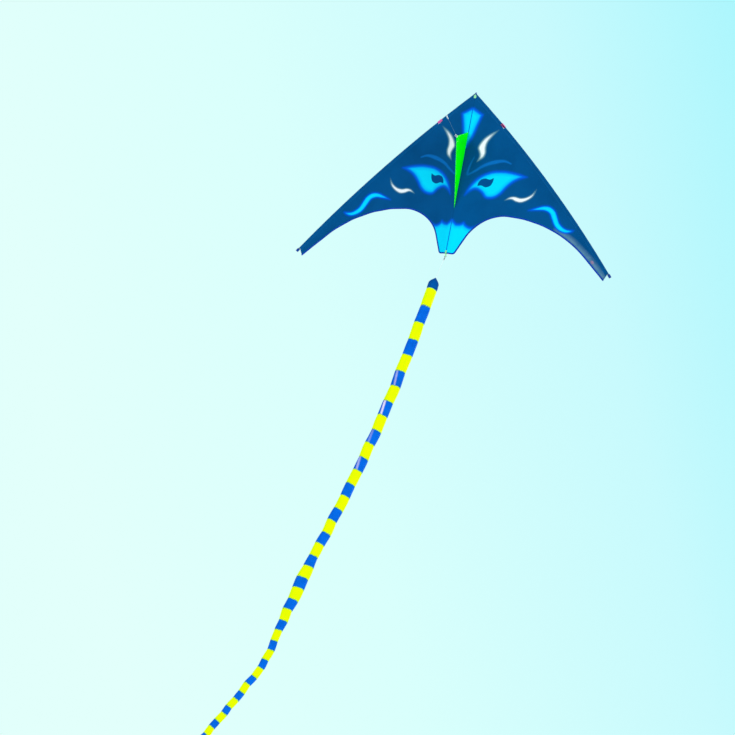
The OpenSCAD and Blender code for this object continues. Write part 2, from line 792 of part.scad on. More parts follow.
spine_rod();
spine_sleeve();
centre_strip();
nose_cap();
nose_patch();
tail_cap();
left_sail();
left_sleeve_upper();
left_sleeve_lower();
left_spar();
left_spar_cap();
left_tip_pocket();
left_binding();
left_tee();
left_tee_pin();
right_sail();
right_sleeve_upper();
right_sleeve_lower();
right_spar();
right_spar_cap();
right_tip_pocket();
right_binding();
spreader_rod();
spreader_arm();
spreader_clip();
keel_panel();
keel_patch();
tow_eyelet();
tow_ring();
ring_knot();
leader_line();
leader_knot();
line_swivel_barrel();
line_swivel_eye();
tail_ring();
tail_swivel_barrel();
tail_swivel_eye();
tail_line_knot();
tail_line();
tail_head();
tail_yellow_bands();
tail_blue_bands();
tail_end_hem();
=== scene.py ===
import math

import bpy
import numpy as np
from mathutils import Matrix, Vector


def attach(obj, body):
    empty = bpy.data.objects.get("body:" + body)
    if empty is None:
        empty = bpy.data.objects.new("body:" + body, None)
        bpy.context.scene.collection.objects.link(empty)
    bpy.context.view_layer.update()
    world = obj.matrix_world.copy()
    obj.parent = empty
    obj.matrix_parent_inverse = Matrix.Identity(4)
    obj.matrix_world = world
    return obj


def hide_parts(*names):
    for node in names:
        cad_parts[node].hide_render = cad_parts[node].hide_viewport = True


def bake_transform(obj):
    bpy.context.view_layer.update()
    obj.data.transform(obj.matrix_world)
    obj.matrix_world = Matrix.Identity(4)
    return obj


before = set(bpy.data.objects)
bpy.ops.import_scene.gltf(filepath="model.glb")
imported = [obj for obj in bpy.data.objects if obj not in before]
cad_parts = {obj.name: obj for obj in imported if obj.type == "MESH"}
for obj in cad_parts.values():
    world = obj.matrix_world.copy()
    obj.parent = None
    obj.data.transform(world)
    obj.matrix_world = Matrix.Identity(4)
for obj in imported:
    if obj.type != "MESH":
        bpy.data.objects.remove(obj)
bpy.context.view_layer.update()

mm = 0.001

camera = {
    "place": (8.3094, -14.5546, -14.1327),
    "aim": (-0.29232, 0.64433, -0.91862),
    "roll": 24.2645,
    "lens": 228.8,
}


def makeCamera():
    data = bpy.data.cameras.new("camera")
    cam = bpy.data.objects.new("camera", data)
    bpy.context.scene.collection.objects.link(cam)
    data.lens = camera["lens"]
    data.clip_start, data.clip_end = 0.1, 500
    ahead = Vector(camera["aim"]) - Vector(camera["place"])
    turn = ahead.to_track_quat("-Z", "Y").to_matrix() @ Matrix.Rotation(math.radians(camera["roll"]), 3, "Z")
    cam.matrix_world = Matrix.Translation(camera["place"]) @ turn.to_4x4()
    bpy.context.scene.camera = cam


makeCamera()

kite = {
    "span": 1600, "tipDrop": 816, "spine": 795, "edgeBow": 27,
    "dihedral": math.radians(6.4), "pitch": math.radians(27.5),
    "towOut": 128, "towZ": 260, "foldX": 7, "sleeveOut": 3.6,
    "archZ": 584, "archU": 262, "archR": 200, "tipRun": 148, "tipW": 38,
    "tipSlant": math.radians(24), "tipBare": 18, "endHalf": 39, "bindW": 7,
    "midY": 0.3, "spineY": 4.3, "clipZ": 146, "notchHalf": 14, "notchIn": 7.3, "rodTop": 18,
    "endRound": 13, "hemIn": 2.0, "blend": (4, 10),
}
wind = {
    "belly": 15, "flutter": 1.6, "folds": 1.3, "pucker": 0.35,
    "cheek": 12, "cheekAt": 120, "cheekWide": 75,
}


def polar(centre, radius, angle):
    return np.array(centre) + radius * np.array([math.cos(angle), math.sin(angle)])


def outlineOf(k):
    o = {}
    tipU = k["foldX"] + (k["span"] / 2 - k["foldX"]) / math.cos(k["dihedral"])
    chord = math.hypot(tipU, k["tipDrop"])
    bow = k["edgeBow"]
    radius = (chord ** 2 / 4 + bow ** 2) / (2 * bow)
    back = (radius - bow) / chord
    centre = np.array([tipU / 2 - k["tipDrop"] * back, -k["tipDrop"] / 2 - tipU * back])
    o["radius"], o["centre"] = radius, centre
    o["spar"] = radius - k["sleeveOut"]
    o["cloth"] = o["spar"] - k["sleeveOut"] - 0.1
    o["noseA"] = math.atan2(-centre[1], -centre[0])
    o["tipA"] = math.atan2(-k["tipDrop"] - centre[1], tipU - centre[0])
    o["endA"] = o["tipA"] + k["tipBare"] / radius
    o["clipA"] = math.asin((-k["clipZ"] - centre[1]) / o["spar"])
    o["clip"] = polar(centre, o["spar"], o["clipA"])
    tipIn = polar(centre, o["cloth"], o["endA"])
    tipDir = polar((0, 0), 1, o["endA"] + k["tipSlant"])
    tipOut = tipIn - tipDir * k["tipW"]
    du, dz = tipOut[0] - k["archU"], -k["archZ"] - tipOut[1]
    bigR = (du ** 2 + dz ** 2 - k["tipRun"] ** 2) / (2 * dz)
    bigC = np.array([k["archU"], -k["archZ"] - bigR])
    bigA = math.atan2(tipOut[1] - bigC[1], du) + math.atan2(k["tipRun"], bigR)
    smallC = np.array([k["archU"], -k["archZ"] - k["archR"]])
    corner = np.array([k["endHalf"], -k["spine"]]) - smallC
    smallA = math.atan2(corner[1], corner[0]) + (2 * math.pi if corner[1] < 0 else 0)
    smallA -= math.acos(k["archR"] / np.linalg.norm(corner))
    o.update(tipIn=tipIn, tipDir=tipDir, tipOut=tipOut)
    o.update(bigR=bigR, bigC=bigC, bigA=bigA, smallC=smallC, smallA=smallA)
    return o


shape = outlineOf(kite)


def trailing(d):
    # the trailing edge moved in by d, from the wing tip to the middle
    o, steps, cut = shape, 40, kite["endRound"]
    tip = o["tipOut"] + o["tipDir"] * d / float(o["tipDir"] @ polar((0, 0), 1, o["bigA"]))
    points = [tip]
    for centre, radius, a, b in (
        (o["bigC"], o["bigR"] + d, o["bigA"], math.pi / 2),
        (o["smallC"], kite["archR"] + d, math.pi / 2, o["smallA"]),
    ):
        points += [polar(centre, radius, a + (b - a) * i / steps) for i in range(steps + 1)]
    low = d - kite["spine"]
    reach = kite["archR"] + d - (low - o["smallC"][1]) * math.sin(o["smallA"])
    across = o["smallC"][0] + reach / math.cos(o["smallA"])
    corner, last = np.array([across, low]), points[-1]
    before = corner + (last - corner) * min(1, cut / np.linalg.norm(last - corner))
    after = corner - np.array([cut, 0])
    points += [(1 - a) ** 2 * before + 2 * a * (1 - a) * corner + a * a * after for a in np.linspace(0, 1, 9)]
    return np.array(points + [np.array([0, low])])


def resample(points, count):
    points = np.array(points, float)
    run = np.concatenate([[0], np.cumsum(np.linalg.norm(np.diff(points, axis=0), axis=1))])
    at = np.linspace(0, run[-1], count)
    return np.stack([np.interp(at, run, points[:, i]) for i in range(points.shape[1])], 1)


def smoothLine(points):
    # a smooth curve through the points, with eight steps from each to the next
    p, steps = np.array(points, float), 8
    if len(p) < 3:
        return np.linspace(p[0], p[-1], steps + 1)
    q = np.vstack([2 * p[0] - p[1], p, 2 * p[-1] - p[-2]])
    made = []
    for i in range(len(p) - 1):
        a, b, c, d = q[i:i + 4]
        for t in np.arange(steps) / steps:
            square, cube = 2 * a - 5 * b + 4 * c - d, 3 * b - a - 3 * c + d
            made.append(0.5 * (2 * b + (c - a) * t + square * t * t + cube * t ** 3))
    return np.array(made + [p[-1]])


def highEdge(u, radius=None):
    r = shape["cloth"] + 0.3 if radius is None else radius
    return shape["centre"][1] + np.sqrt(r ** 2 - (u - shape["centre"][0]) ** 2)


def lowEdge(u):
    line = trailing(kite["hemIn"])[::-1]
    line = np.vstack([line, shape["tipIn"]])
    return np.interp(u, line[:, 0], line[:, 1])


def billow(u, z):
    # how far the wind sets the cloth back from its flat plane
    u, z = np.asarray(u, float), np.asarray(z, float)
    across = np.clip((u - kite["foldX"]) / (shape["tipIn"][0] - kite["foldX"]), 0, 1)
    low, high = lowEdge(u), highEdge(np.minimum(u, shape["tipIn"][0]))
    v = np.clip((z - low) / np.maximum(high - low, 1), 0, 1)
    belly = wind["belly"] * np.sin(math.pi * across ** 0.75) * (1 - v) * (0.5 + 1.7 * v)
    flutter = wind["flutter"] * np.sin(u / 15 + 0.8) * (1 - v) ** 4 * np.sin(math.pi * across)
    folds = wind["folds"] * np.sin(v * 19 + u / 60) * across ** 3 * (1 - across) * (1 - v) * 4
    pucker = wind["pucker"] * np.sin((u + 0.3 * z) / 3.7) * v ** 8 * (1 - v) * 9
    cheek = wind["cheek"] * np.exp(-((u - wind["cheekAt"]) / wind["cheekWide"]) ** 2) * (1 - v) ** 2
    ease = np.clip((u - kite["foldX"]) / 30, 0, 1)
    return (belly + flutter + folds + pucker + cheek) * ease


def flown(x, y, z):
    # from the kite's own axes, in millimetres, to the row frame, in metres
    c, s = math.cos(kite["pitch"]), math.sin(kite["pitch"])
    y, z = y + kite["towOut"], z + kite["towZ"]
    x = np.broadcast_to(x, np.shape(y + z))
    return np.stack([x, y * c - z * s, y * s + z * c], -1) * mm


def wingPoint(side, u, y, z):
    fold, c, s = kite["foldX"], math.cos(kite["dihedral"]), math.sin(kite["dihedral"])
    out = u > fold
    x = np.where(out, fold + (u - fold) * c - y * s, u)
    back = np.where(out, (u - fold) * s + y * c, y)
    return flown(side * x, back, z)


def clearSelection():
    if bpy.context.object and bpy.context.object.mode != "OBJECT":
        bpy.ops.object.mode_set(mode="OBJECT")
    bpy.ops.object.select_all(action="DESELECT")


def only(obj):
    clearSelection()
    obj.select_set(True)
    bpy.context.view_layer.objects.active = obj


def finishModifiers(obj):
    only(obj)
    for m in list(obj.modifiers):
        bpy.ops.object.modifier_apply(modifier=m.name)


def setPoints(obj, points):
    obj.data.vertices.foreach_set("co", np.ascontiguousarray(points, np.float32).ravel())
    obj.data.update()


def setUv(obj, uv):
    layer = obj.data.uv_layers.get("cloth") or obj.data.uv_layers.new(name="cloth")
    index = np.zeros(len(obj.data.loops), int)
    obj.data.loops.foreach_get("vertex_index", index)
    layer.data.foreach_set("uv", np.ascontiguousarray(uv[index], np.float32).ravel())


def setValues(obj, name, values):
    made = obj.data.attributes.new(name, "FLOAT", "POINT")
    made.data.foreach_set("value", np.ascontiguousarray(values, np.float32))


def gridSheet(name, columns, rows, place, wall, closed=False):
    # a grid primitive laid out by place(s, t), which gives points and the cloth's own flat measures
    clearSelection()
    bpy.ops.mesh.primitive_grid_add(x_subdivisions=columns, y_subdivisions=rows, size=2)
    obj = bpy.context.object
    obj.name = obj.data.name = name
    co = np.zeros(len(obj.data.vertices) * 3, np.float32)
    obj.data.vertices.foreach_get("co", co)
    co = co.reshape(-1, 3).astype(float)
    s, t = (co[:, 0] + 1) / 2, (co[:, 1] + 1) / 2
    made = place(s, t)
    setPoints(obj, made[0])
    for old in list(obj.data.uv_layers):
        obj.data.uv_layers.remove(old)
    setUv(obj, np.stack(made[1], 1))
    for key, values in (made[2] if len(made) > 2 else {}).items():
        setValues(obj, key, values)
    if closed:
        bpy.ops.object.mode_set(mode="EDIT")
        bpy.ops.mesh.select_all(action="SELECT")
        bpy.ops.mesh.remove_doubles(threshold=0.00002)
        bpy.ops.mesh.normals_make_consistent(inside=False)
        bpy.ops.object.mode_set(mode="OBJECT")
    thick = obj.modifiers.new("wall", "SOLIDIFY")
    thick.thickness, thick.offset = wall * mm, 0
    finishModifiers(obj)
    only(obj)
    bpy.ops.object.shade_smooth_by_angle(angle=math.radians(40))
    return obj


def joined(name, parts):
    clearSelection()
    for p in parts:
        p.select_set(True)
    bpy.context.view_layer.objects.active = parts[0]
    bpy.ops.object.join()
    parts[0].name = parts[0].data.name = name
    return parts[0]


def curveTube(name, points, radius, resolution=4):
    data = bpy.data.curves.new(name, "CURVE")
    data.dimensions = "3D"
    data.bevel_depth, data.bevel_resolution, data.use_fill_caps = radius, resolution, True
    line = data.splines.new("POLY")
    line.points.add(len(points) - 1)
    for p, at in zip(line.points, points):
        p.co = (*at, 1)
    obj = bpy.data.objects.new(name, data)
    bpy.context.scene.collection.objects.link(obj)
    return obj


def blendAtSeam(obj):
    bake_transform(obj)


def dress(obj, material):
    obj.data.materials.clear()
    obj.data.materials.append(material)
    return obj


def tone(r, g, b):
    # a screen colour, 0 to 255, as a linear one
    def linear(c):
        return c / 255 / 12.92 if c <= 10 else ((c / 255 + 0.055) / 1.055) ** 2.4
    return linear(r), linear(g), linear(b), 1


class Nodes:
    def __init__(self, name):
        self.material = bpy.data.materials.new(name)
        self.material.use_nodes = True
        self.tree = self.material.node_tree
        self.shader = self.tree.nodes["Principled BSDF"]

    def add(self, kind, links=(), **settings):
        node = self.tree.nodes.new(kind)
        for key, value in settings.items():
            setattr(node, key, value)
        for socket, source in dict(links).items():
            self.set(node, socket, source)
        return node

    def set(self, node, socket, source):
        target = node.inputs[socket]
        if isinstance(source, bpy.types.NodeSocket):
            self.tree.links.new(source, target)
        elif isinstance(source, bpy.types.Node):
            self.tree.links.new(source.outputs[0], target)
        else:
            target.default_value = source

    def math(self, operation, a, b=0.0):
        return self.add("ShaderNodeMath", {0: a, 1: b}, operation=operation)

    def here(self):
        return self.add("ShaderNodeTexCoord").outputs["Object"]

    def value(self, name):
        return self.add("ShaderNodeAttribute", attribute_name=name).outputs["Fac"]

    def mix(self, factor, a, b):
        node = self.add("ShaderNodeMix", data_type="RGBA")
        self.set(node, 0, factor)
        self.set(node, 6, a)
        self.set(node, 7, b)
        return node.outputs[2]

    def ramp(self, value, stops, smooth=True):
        node = self.add("ShaderNodeValToRGB", {0: value})
        band = node.color_ramp
        band.interpolation = "EASE" if smooth else "LINEAR"
        while len(band.elements) < len(stops):
            band.elements.new(0.5)
        for element, (at, colour) in zip(band.elements, stops):
            element.position, element.color = at, colour
        return node

    def blotched(self, cloud, colour, shade, low=0.35, high=0.7):
        # the shade shows, with soft edges, where the cloud noise is high
        return self.mix(self.ramp(cloud, [(low, (0, 0, 0, 1)), (high, (1, 1, 1, 1))]), colour, shade)

    def between(self, cloud, low, high):
        # a value that follows the cloud noise
        return self.add("ShaderNodeMapRange", {0: cloud, 1: 0.3, 2: 0.7, 3: low, 4: high})

    def noise(self, vector, scale, detail=3.0, rough=0.5):
        links = {"Vector": vector, "Scale": scale, "Detail": detail, "Roughness": rough}
        return self.add("ShaderNodeTexNoise", links)

    def bump(self, height, strength, distance, normal=None):
        node = self.add("ShaderNodeBump", {"Height": height, "Strength": strength, "Distance": distance})
        if normal is not None:
            self.set(node, "Normal", normal)
        return node

    def finish(self, colour, roughness, normal=None, **fixed):
        self.set(self.shader, "Base Color", colour)
        self.set(self.shader, "Roughness", roughness)
        if normal is not None:
            self.set(self.shader, "Normal", normal)
        for key, value in fixed.items():
            self.set(self.shader, key.replace("_", " "), value)
        return self.material

    def finishCloth(self, colour, roughness, normal, tint, sheen=0.03, gloss=0.02):
        return self.finish(colour, roughness, normal,
                           Sheen_Weight=sheen, Sheen_Tint=tint, Specular_IOR_Level=gloss)


def clothBase(n, weave=0.0007):
    # fine plain weave with a raised thread each few millimetres, from the piece's own flat measures
    rip = 0.006
    uv = n.add("ShaderNodeUVMap", uv_map="cloth").outputs[0]
    parts = n.add("ShaderNodeSeparateXYZ", {0: uv})
    along, across = parts.outputs[0], parts.outputs[1]
    threads = []
    for axis in (along, across):
        threads.append(n.math("SINE", n.math("MULTIPLY", axis, math.tau / weave)))
    woven = n.math("MULTIPLY", threads[0], threads[1])
    grid = n.add(
        "ShaderNodeTexBrick",
        {"Vector": uv, "Color1": (1, 1, 1, 1), "Color2": (1, 1, 1, 1), "Mortar": (0, 0, 0, 1), "Scale": 1.0,
         "Mortar Size": rip * 0.06, "Mortar Smooth": 0.3, "Bias": 0.0, "Brick Width": rip, "Row Height": rip},
        offset=0.0, squash=1.0,
    )
    height = n.math("ADD", n.math("MULTIPLY", woven, 0.35), grid.outputs["Fac"])
    normal = n.bump(height, 0.25, 0.00015)
    return along, across, grid.outputs["Fac"], n.here(), normal


def stitchMask(n, along, across, rows, pitch=0.0032, half=0.00035):
    # dashes along lines at fixed distances across the piece
    dash = n.math("LESS_THAN", n.math("FRACT", n.math("DIVIDE", along, pitch)), 0.68)
    total = None
    for row in rows:
        line = n.math("LESS_THAN", n.math("ABSOLUTE", n.math("SUBTRACT", across, row)), half)
        total = line if total is None else n.math("MAXIMUM", total, line)
    return n.math("MULTIPLY", dash, total)


def clothMaterial(name, colour, shade, thread, rows, weave=0.0007):
    n = Nodes(name)
    along, across, rip, where, normal = clothBase(n, weave)
    cloud = n.noise(where, 14, 4, 0.6)
    base = n.blotched(cloud, colour, shade)
    base = n.mix(n.math("MULTIPLY", rip, 0.18), base, shade)
    sewn = stitchMask(n, along, across, rows)
    base = n.mix(sewn, base, thread)
    normal = n.bump(sewn, 0.5, 0.0003, normal)
    return n.finishCloth(base, n.between(cloud, 0.56, 0.68), normal, colour, sheen=0.04, gloss=0.03)


navy, deepNavy = tone(0, 79, 137), tone(0, 72, 126)
royal, deepRoyal = tone(2, 56, 172), tone(2, 48, 150)
paleThread = tone(20, 100, 160)


def sailMaterial():
    n = Nodes("printedSail")
    along, across, rip, where, normal = clothBase(n)
    cloud = n.noise(where, 5, 4, 0.6)
    base = n.blotched(cloud, navy, deepNavy)
    # painted sheen: near the right wing tip the navy turns pale grey-teal along a streak, as the twisted
    # cloth catching the light
    paintedSheen = n.value("sheenStreak")
    paintedGlare = n.mix(n.noise(where, 30, 3, 0.6).outputs[0], tone(20, 106, 146), tone(120, 150, 172))
    base = n.mix(n.math("MULTIPLY", paintedSheen, 0.9), base, paintedGlare)
    # a pink spot near the right wing tip
    spot = n.value("pinkSpot")
    base = n.mix(n.math("MULTIPLY", spot, 0.85), base, tone(166, 122, 150))

    def layer(attribute, colours, cover, under):
        # colours and cover by the distance in millimetres inside the edge of a motif
        spread = n.add("ShaderNodeMapRange", {0: n.value(attribute), 1: -0.03, 2: 0.03, 3: 0.0, 4: 1.0})
        paint = n.ramp(spread, [((d + 30) / 60, tone(*c)) for d, c in colours], False)
        hide = n.ramp(spread, [((d + 30) / 60, (c, c, c, 1)) for d, c in cover], False)
        return n.mix(hide, under, paint)

    base = layer("brow", [(-30, (6, 96, 172)), (30, (8, 108, 192))], [(-3, 0.0), (3, 1.0)], base)
    glow = [(-9, (0, 74, 172)), (-2, (0, 80, 200)), (5, (0, 92, 220)),
            (10, (0, 138, 240)), (15, (0, 190, 250)), (28, (0, 216, 252))]
    base = layer("cyan", glow, [(-9, 0.0), (-2, 0.6), (2, 1.0)], base)
    chalk = [(-4, (20, 84, 132)), (0, (60, 112, 142)), (4, (112, 148, 168)),
             (7, (182, 192, 207)), (10, (238, 234, 243)), (14, (250, 246, 252))]
    base = layer("white", chalk, [(-5, 0.0), (1, 1.0)], base)
    base = layer("pupil", [(-30, (0, 78, 139)), (30, (0, 72, 134))], [(-1.5, 0.0), (2, 1.0)], base)
    base = n.mix(n.math("MULTIPLY", rip, 0.12), base, deepNavy)
    return n.finishCloth(base, n.between(cloud, 0.56, 0.68), normal, navy)


def plastic(name, colour, shade, rough, soft=0.0, gloss=0.5):
    n = Nodes(name)
    where = n.here()
    cloud = n.noise(where, 60, 3)
    fine = n.noise(where, 900, 2)
    base = n.blotched(cloud, colour, shade)
    roughness = n.between(cloud, rough - 0.07, rough + 0.08)
    return n.finish(base, roughness, n.bump(fine, 0.12, 0.0002), Subsurface_Weight=soft,
                    Subsurface_Scale=0.002, Specular_IOR_Level=gloss)


def carbonMaterial():
    n = Nodes("carbonRod")
    where = n.here()
    long = n.add("ShaderNodeMapping", {"Vector": where, "Scale": (1.0, 1.0, 0.06)})
    streak = n.noise(long, 900, 3, 0.7)
    base = n.blotched(streak, tone(34, 37, 42), tone(62, 66, 72), 0.4, 0.65)
    roughness = n.between(streak, 0.26, 0.42)
    return n.finish(base, roughness, n.bump(streak, 0.2, 0.0001), Coat_Weight=0.3, Coat_Roughness=0.15)


def metalMaterial():
    n = Nodes("darkSteel")
    where = n.here()
    cloud = n.noise(where, 400, 3)
    base = n.mix(cloud.outputs[0], tone(96, 102, 110), tone(140, 146, 152))
    roughness = n.between(cloud, 0.25, 0.45)
    return n.finish(base, roughness, n.bump(cloud, 0.1, 0.0001), Metallic=0.9)


def lineMaterial(name, colour, shade):
    # laid line: slanting strands round it
    n = Nodes(name)
    where = n.here()
    parts = n.add("ShaderNodeSeparateXYZ", {0: where})
    run = n.math("ADD", parts.outputs[1], parts.outputs[2])
    turns = n.math("MULTIPLY", run, math.tau / 0.0016)
    slant = n.math("ADD", turns, n.math("MULTIPLY", parts.outputs[0], 2200))
    strand = n.math("SINE", slant)
    base = n.mix(n.add("ShaderNodeMapRange", {0: strand, 1: -1.0, 2: 1.0, 3: 0.0, 4: 0.6}), colour, shade)
    return n.finish(base, 0.7, n.bump(strand, 0.4, 0.0002), Sheen_Weight=0.1)


finishes = {
    "line": lineMaterial("whiteLine", tone(246, 248, 248), tone(212, 220, 224)),
    "leader": lineMaterial("leaderLine", tone(70, 122, 156), tone(44, 98, 136)),
    "carbon": carbonMaterial(),
    "steel": metalMaterial(),
    "pink": plastic("pinkVinyl", tone(232, 84, 172), tone(210, 64, 150), 0.45, soft=0.1),
    "blueCap": plastic("bluePlastic", tone(0, 62, 156), tone(0, 48, 128), 0.45, gloss=0.15),
    "greenCap": plastic("paleGreenPlastic", tone(150, 226, 160), tone(116, 204, 132), 0.45, soft=0.1),
    "white": plastic("whitePlastic", tone(240, 243, 244), tone(222, 228, 230), 0.38),
    "sail": sailMaterial(),
    "binding": clothMaterial("bindingTape", royal, deepRoyal, tone(50, 100, 200), (0.0015, 0.0125)),
    "hem": clothMaterial("hemmedEdge", tone(0, 82, 142), tone(0, 76, 132), paleThread, (0.0012, 0.0318)),
    "patch": clothMaterial("reinforcement", tone(0, 70, 128), tone(0, 56, 106), tone(40, 120, 190),
                           (0.002,), 0.0011),
}
print("materials made")

leader = {"drop": math.radians(11), "start": 14.6, "length": 136, "diameter": 1.6, "steps": 24}
tailLine = {"y": 368.543, "top": -449.995, "length": 118, "diameter": 1.2, "steps": 24}


def alongLeader(x):
    return Vector((0, -x * math.cos(leader["drop"]), -x * math.sin(leader["drop"]))) * mm


def makeCords():
    k = leader
    first, last = k["start"] + 0.2, k["start"] + k["length"] - 1.2
    points = [alongLeader(first + (last - first) * i / k["steps"]) for i in range(k["steps"] + 1)]
    line = dress(curveTube("leaderLine", points, k["diameter"] / 2 * mm), finishes["leader"])
    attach(line, "leader")
    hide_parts("leader_line")
    k = tailLine
    top, low = k["top"] - 0.8, k["top"] - k["length"] - 1.8
    points = [Vector((0, k["y"], top + (low - top) * i / k["steps"])) * mm for i in range(k["steps"] + 1)]
    line = dress(curveTube("tailLine", points, k["diameter"] / 2 * mm), finishes["line"])
    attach(line, "tail")
    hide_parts("tail_line")


makeCords()
print("cords made")

motifs = {
    "nose": [[(0, -71), (56, -102)], [(56, -102), (41, -158), (26, -217), (0, -279)]],
    "tail": [[(0, -622), (11, -634), (24, -645)], [(24, -645), (42, -641), (57, -630)],
             [(57, -630), (68, -643), (88, -651), (110, -644), (140, -624)],
             [(140, -624), (140, -830)], [(140, -830), (0, -830)]],
    "eye": [[(322, -381), (275, -369), (225, -363), (190, -364), (148, -371), (104, -393), (72, -424),
             (48, -463), (36, -504)],
            [(36, -504), (58, -480), (84, -467), (111, -478), (133, -500), (156, -504), (184, -496),
             (210, -474), (230, -445), (256, -416), (286, -396), (322, -381)]],
    "pupil": [[(162, -400), (143, -411), (121, -408), (101, -416), (90, -433), (88, -450)],
              [(88, -450), (106, -445), (128, -451), (149, -442), (159, -423), (162, -400)]],
    "flame": [[(146, -168), (109, -190), (82, -214), (64, -243), (58, -266), (67, -286), (72, -305),
               (65, -335)],
              [(65, -335), (94, -311), (102, -286), (99, -260), (103, -233), (121, -202), (146, -168)]],
    "cheek": [[(377, -434), (357, -461), (332, -478), (305, -484), (278, -480), (253, -486), (231, -505)],
              [(231, -505), (262, -497), (286, -505), (313, -507), (343, -492), (366, -469), (377, -434)]],
    "swash": [[(354, -541), (390, -523), (426, -510), (460, -512), (487, -532), (503, -561), (519, -589),
               (550, -610), (590, -614)],
              [(590, -614), (578, -624), (551, -631), (518, -623), (492, -602), (473, -570), (457, -544),
               (431, -534), (398, -536), (354, -541)]],
}
brows = [
    {"line": [(35, -402), (66, -378), (98, -351), (131, -333), (170, -320), (201, -316), (232, -325)],
     "width": (7, 18, 6)},
    {"line": [(31, -400), (32, -383), (38, -350), (50, -311)], "width": (7, 8, 3)},
]


def outlinePoints(parts, mirrored=False):
    line = np.vstack([smoothLine(p)[:-1] for p in parts])
    return np.vstack([line, line[::-1] * [-1, 1]]) if mirrored else line


def segmentsGap(points, line, closed, widths=None):
    ends = np.roll(line, -1, 0) if closed else line[1:]
    starts = line if closed else line[:-1]
    best = np.full(len(points), 1e9)
    for i, (a, b) in enumerate(zip(starts, ends)):
        d = b - a
        length = max(float(d @ d), 1e-9)
        t = np.clip(((points - a) @ d) / length, 0, 1)
        gap = np.linalg.norm(points - a - t[:, None] * d, axis=1)
        if widths is not None:
            gap = gap - (widths[i] + (widths[i + 1] - widths[i]) * t)
        best = np.minimum(best, gap)
    return best


def inside(points, line):
    x, y = points[:, 0], points[:, 1]
    result = np.zeros(len(points), bool)
    for a, b in zip(line, np.roll(line, -1, 0)):
        if a[1] == b[1]:
            continue
        crosses = (a[1] > y) != (b[1] > y)
        result ^= crosses & (x < (b[0] - a[0]) * (y - a[1]) / (b[1] - a[1]) + a[0])
    return result


def signedGap(points, line):
    gap = segmentsGap(points, line, True)
    return np.where(inside(points, line), gap, -gap)


def printValues(at):
    gaps = {}
    for name, parts in motifs.items():
        gaps[name] = signedGap(at, outlinePoints(parts, name in ("nose", "tail")))
    # thin ones reach their full colour sooner
    for name, gain in (("swash", 2.4), ("cheek", 1.7)):
        gaps[name] = gaps[name] * np.where(gaps[name] > 0, gain, 1)
    strokes = []
    for b in brows:
        line = smoothLine(b["line"])
        widths = np.interp(np.linspace(0, 1, len(line)), (0, 0.6, 1), b["width"])
        strokes.append(-segmentsGap(at, line, False, widths / 2))

    def pick(*names):
        return np.max([gaps[x] for x in names], 0) * mm

    return {
        "cyan": pick("nose", "tail", "eye", "swash"), "white": pick("flame", "cheek"),
        "pupil": pick("pupil"), "brow": np.max(strokes, 0) * mm,
    }


sail = {
    "columns": 172, "rows": 140, "wall": 0.5, "seamShare": 0.02,
    # the line and width of the painted sheen streak near the right wing tip
    "paintedSheen": [(510, -620), (600, -672), (690, -745), (766, -818)], "paintedSheenWidth": 22,
    # where the pink spot lies, its size and its turn
    "spot": (705, -757), "spotSize": (13, 9), "spotTurn": [[0.72, 0.69], [-0.69, 0.72]],
}


def makeSail(name, side):
    clipU, tipU, fold = shape["clip"][0], shape["tipIn"][0], kite["foldX"]
    notch = kite["notchHalf"] * math.sin(shape["clipA"])

    def place(s, t):
        first = sail["seamShare"]
        u = np.where(s < first, s / first * fold, fold + (s - first) / (1 - first) * (tipU - fold))
        low, high = lowEdge(u), highEdge(u)
        high = np.where(np.abs(u - clipU) < notch, highEdge(u, shape["spar"] - kite["notchIn"]), high)
        z = low + (np.maximum(high, low) - low) * t
        y = kite["midY"] + billow(u, z)
        at = np.stack([u, z], 1)
        values = printValues(at)
        sheenStreak = pinkSpot = np.zeros(len(u))
        if side > 0:
            # painted sheen: a pale streak along a line near the tip, where the twisted cloth would catch the
            # light
            gap = segmentsGap(at, np.array(sail["paintedSheen"], float), False)
            sheenStreak = np.clip(1 - gap / sail["paintedSheenWidth"], 0, 1)
            # a pink spot near the tip
            off = (at - sail["spot"]) @ np.array(sail["spotTurn"])
            pinkSpot = np.clip(1.6 - 1.6 * np.linalg.norm(off / sail["spotSize"], axis=1), 0, 1)
        values["sheenStreak"], values["pinkSpot"] = sheenStreak, pinkSpot
        return wingPoint(side, u, y, z), (u * mm, z * mm), values

    obj = gridSheet(name + "Sail", sail["columns"], sail["rows"], place, sail["wall"], closed=True)
    dress(obj, finishes["sail"])
    lead = [[u, highEdge(u)] for u in np.linspace(2, tipU, 60)]
    edge = np.vstack([trailing(kite["hemIn"]), [[0, -9]], lead])
    blendAtSeam(obj)
    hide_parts(name + "_sail")


for name, side in (("left", -1), ("right", 1)):
    makeSail(name, side)
print("sail made")


tape = {"legs": 7, "gap": 0.42, "wall": 0.28, "steps": 420}
sleeve = {"radius": 3.2, "tab": 15, "wall": 0.4}


def foldedTape(t):
    # from the front leg's edge, round the fold, to the back leg's edge
    leg, gap = tape["legs"], tape["gap"]
    run = np.array([0, 0.42, 0.46, 0.5, 0.54, 0.58, 1])
    d = np.array([leg, gap, gap * 0.3, 0, gap * 0.3, gap, leg])
    y = np.array([-gap, -gap, -gap * 0.75, 0, gap * 0.75, gap, gap])
    return np.interp(t, run, d), np.interp(t, run, y)


